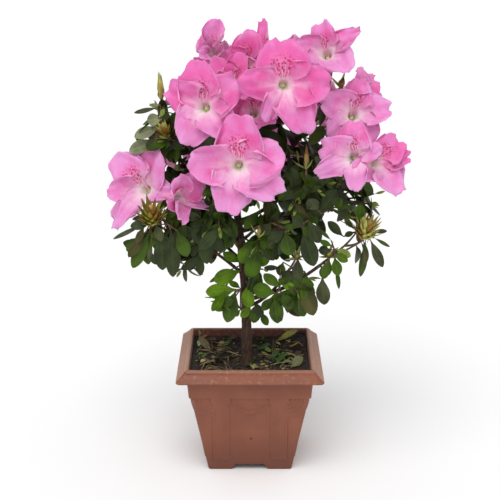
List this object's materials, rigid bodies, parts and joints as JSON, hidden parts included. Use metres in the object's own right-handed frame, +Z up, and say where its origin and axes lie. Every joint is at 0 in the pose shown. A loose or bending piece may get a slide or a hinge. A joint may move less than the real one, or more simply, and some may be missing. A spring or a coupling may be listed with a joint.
{
  "type": "potted azalea shrub",
  "caption": "Small standard azalea with a slender trunk, a wide crown of dark leaves and large open pink blooms, growing in a square tapered plastic pot with a sloping rim.",
  "frame": {"origin": "centre of the pot's underside, on the plane of its feet", "axes": "+Z up, -Y to the front of the plant, +X to its right as seen from the front"},
  "size_m": [0.2451, 0.1771, 0.3716],
  "materials": {
    "pot": "matt moulded plastic with a slight sheen, scuffed on the rim",
    "potting_mix": "rough, crumbly and damp",
    "bark": "finely ridged bark",
    "leaves": "leathery leaf, faintly glossy above",
    "petals": "soft matt petal"
  },
  "bodies": {
    "root": {"blossom_back": "petals", "blossom_back_left": "petals", "blossom_back_right": "petals", "blossom_back_top": "petals", "blossom_front": "petals", "blossom_front_left": "petals", "blossom_left": "petals", "blossom_right": "petals", "blossom_right_front": "petals", "blossom_top_left": "petals", "blossom_top_right": "petals", "blossom_upper_right": "petals", "bough_back": "bark", "bough_back_left": "bark", "bough_back_low": "bark", "bough_back_low_left": "bark", "bough_back_right": "bark", "bough_back_top": "bark", "bough_centre": "bark", "bough_centre_left": "bark", "bough_centre_right": "bark", "bough_front": "bark", "bough_left": "bark", "bough_low_centre": "bark", "bough_low_left": "bark", "bough_low_right": "bark", "bough_right": "bark", "bough_top_left": "bark", "bough_top_right": "bark", "bough_upper_left": "bark", "bough_upper_right": "bark", "leaves_back": "leaves", "leaves_back_left": "leaves", "leaves_back_low": "leaves", "leaves_back_low_left": "leaves", "leaves_back_right": "leaves", "leaves_back_top": "leaves", "leaves_centre": "leaves", "leaves_centre_left": "leaves", "leaves_centre_right": "leaves", "leaves_left": "leaves", "leaves_low_centre": "leaves", "leaves_low_left": "leaves", "leaves_low_right": "leaves", "leaves_right": "leaves", "leaves_top_left": "leaves", "leaves_top_right": "leaves", "leaves_trunk_front": "leaves", "leaves_trunk_left": "leaves", "leaves_upper_left": "leaves", "pot": "pot", "potting_mix": "potting_mix", "trunk": "bark"}
  },
  "joints": []
}
